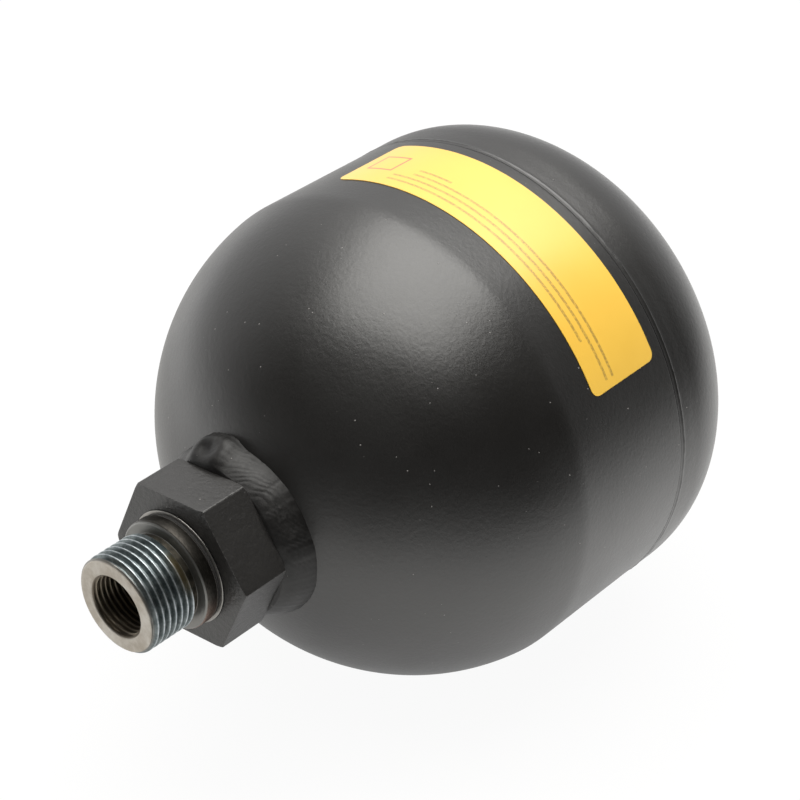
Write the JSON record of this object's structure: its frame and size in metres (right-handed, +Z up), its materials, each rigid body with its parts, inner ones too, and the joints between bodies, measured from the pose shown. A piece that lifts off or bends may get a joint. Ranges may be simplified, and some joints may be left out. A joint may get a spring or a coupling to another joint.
{
  "type": "diaphragm accumulator",
  "caption": "Welded near-spherical steel pressure accumulator with a hexagonal screwed fluid port and a charging port on the gas side.",
  "frame": {"origin": "centre of the fluid port's open end, on the vessel's axis", "axes": "+Y along the vessel's axis from the fluid port to the charging port, +Z up with the vessel lying on its side"},
  "size_m": [0.1398, 0.2061, 0.1398],
  "materials": {
    "black_paint": "satin",
    "port_steel": "satin",
    "black_rubber": "matte",
    "yellow_label": "satin",
    "plain_steel": "satin"
  },
  "bodies": {
    "vessel": {"fluid_shell": "black_paint", "gas_shell": "black_paint", "girth_weld": "black_paint", "fluid_port": "port_steel", "fluid_port_weld": "black_paint", "port_seal_ring": "black_rubber", "side_label": "yellow_label", "diaphragm": "black_rubber", "clamp_ring": "plain_steel", "gas_port": "plain_steel", "gas_port_weld": "black_paint", "charging_screw": "plain_steel", "charging_screw_seal": "black_rubber"},
    "button": {"closing_button": "plain_steel"}
  },
  "joints": [
    {"name": "diaphragm_stroke", "type": "slide", "parent": "vessel", "child": "button", "axis": [0, 1, 0], "range_m": [0, 0.11], "stiffness_N_per_m": 200, "springref_m": -0.05, "deforming": ["diaphragm"]}
  ]
}
